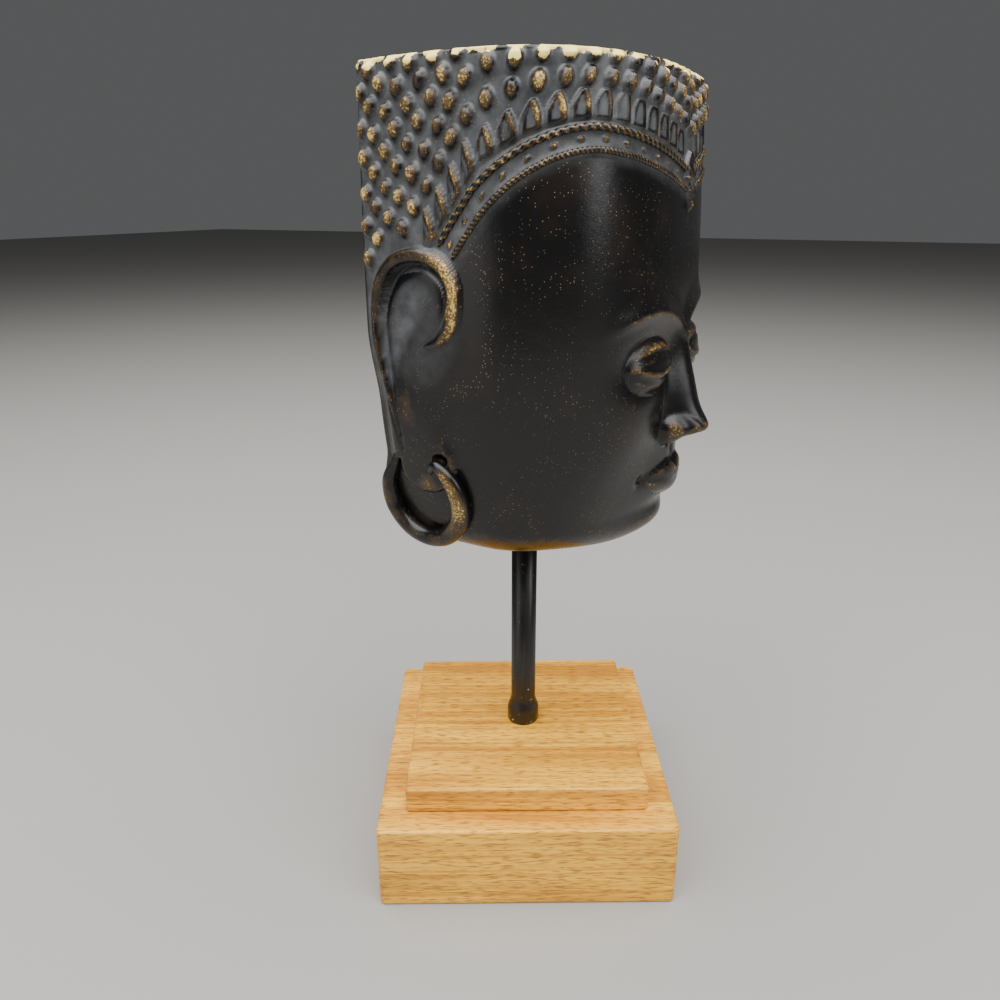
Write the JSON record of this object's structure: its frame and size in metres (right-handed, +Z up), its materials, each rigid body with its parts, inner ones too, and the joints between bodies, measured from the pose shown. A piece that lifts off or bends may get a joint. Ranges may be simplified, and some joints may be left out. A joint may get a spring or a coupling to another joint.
{
  "type": "buddha head sculpture",
  "caption": "Black mask of a calm Buddha head with a cap of round curls and long ears with rings, hollow behind, on a rod and a stepped wooden base.",
  "frame": {"origin": "centre of the base's underside, on the rod's axis", "axes": "+Z up along the rod, -Y the way the face looks, +X towards the head's left ear; the square base is turned 27 degrees about +Z"},
  "size_m": [0.1732, 0.1732, 0.3345],
  "materials": {
    "wood": "satin",
    "rod_paint": "satin",
    "rubbed_black": "glossy paint, rubbed"
  },
  "bodies": {
    "root": {"base_block": "wood", "base_step": "wood", "stand_rod": "rod_paint", "head_mask": "rubbed_black"}
  },
  "joints": []
}
